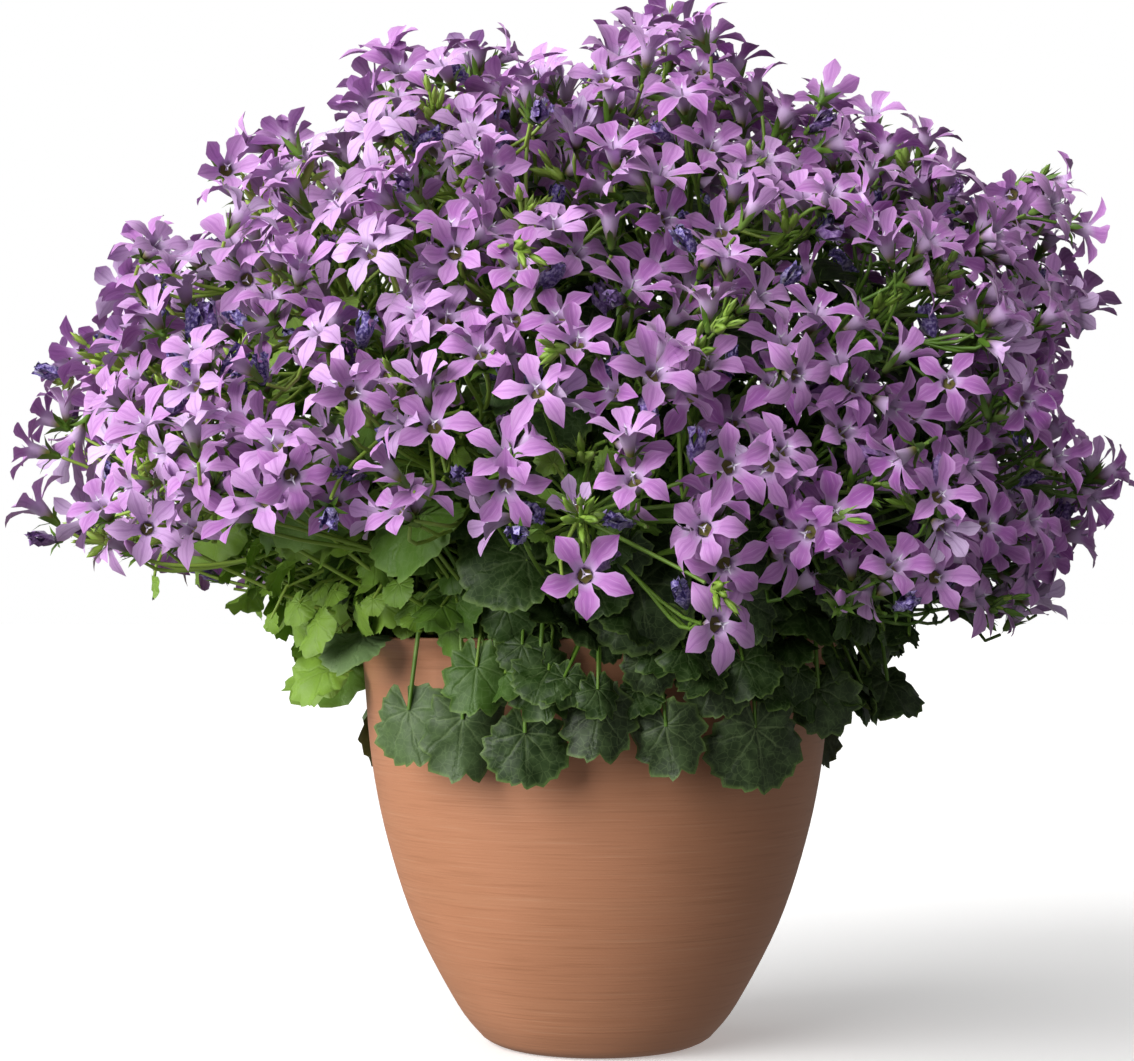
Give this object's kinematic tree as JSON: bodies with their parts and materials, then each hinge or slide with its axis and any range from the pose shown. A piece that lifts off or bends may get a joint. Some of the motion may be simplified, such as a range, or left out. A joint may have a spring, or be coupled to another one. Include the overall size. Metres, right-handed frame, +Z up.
{
  "type": "potted bellflower",
  "caption": "Round mound of star-shaped violet bellflowers with toothed leaves hanging over the rim of a tapered clay pot.",
  "frame": {"origin": "centre of the pot's flat foot, on the surface that it stands on", "axes": "+Z up, front of the plant faces -Y, +X to the right seen from the front"},
  "size_m": [0.367, 0.3346, 0.3294],
  "materials": {
    "clay": "satin unglazed clay with fine turning marks",
    "compost": "matt crumbly peat and bark",
    "petal": "soft satin petal",
    "leaf": "waxy green leaf",
    "stem": "smooth green stem"
  },
  "bodies": {
    "root": {"pot": "clay", "soil": "compost", "flower_spray_01": "petal", "flower_spray_02": "petal", "flower_spray_03": "petal", "flower_spray_04": "petal", "flower_spray_05": "petal", "flower_spray_06": "petal", "flower_spray_07": "petal", "flower_spray_08": "petal", "flower_spray_09": "petal", "flower_spray_10": "petal", "flower_spray_11": "petal", "flower_spray_12": "petal", "flower_spray_13": "petal", "flower_spray_14": "petal", "flower_spray_15": "petal", "flower_spray_16": "petal", "flower_spray_17": "petal", "flower_spray_18": "petal", "flower_spray_19": "petal", "flower_spray_20": "petal", "flower_spray_21": "petal", "flower_spray_22": "petal", "flower_spray_23": "petal", "flower_spray_24": "petal", "flower_spray_25": "petal", "flower_spray_26": "petal", "flower_spray_27": "petal", "flower_spray_28": "petal", "flower_spray_29": "petal", "flower_spray_30": "petal", "flower_spray_31": "petal", "flower_spray_32": "petal", "flower_spray_33": "petal", "flower_spray_34": "petal", "flower_spray_35": "petal", "flower_spray_36": "petal", "flower_spray_37": "petal", "flower_spray_38": "petal", "flower_spray_39": "petal", "flower_spray_40": "petal", "leafy_shoot_01": "leaf", "leafy_shoot_02": "leaf", "leafy_shoot_03": "leaf", "leafy_shoot_04": "leaf", "leafy_shoot_05": "leaf", "leafy_shoot_06": "leaf", "leafy_shoot_07": "leaf", "leafy_shoot_08": "leaf", "leafy_shoot_09": "leaf", "leafy_shoot_10": "leaf", "leafy_shoot_11": "leaf", "leafy_shoot_12": "leaf"}
  },
  "joints": []
}
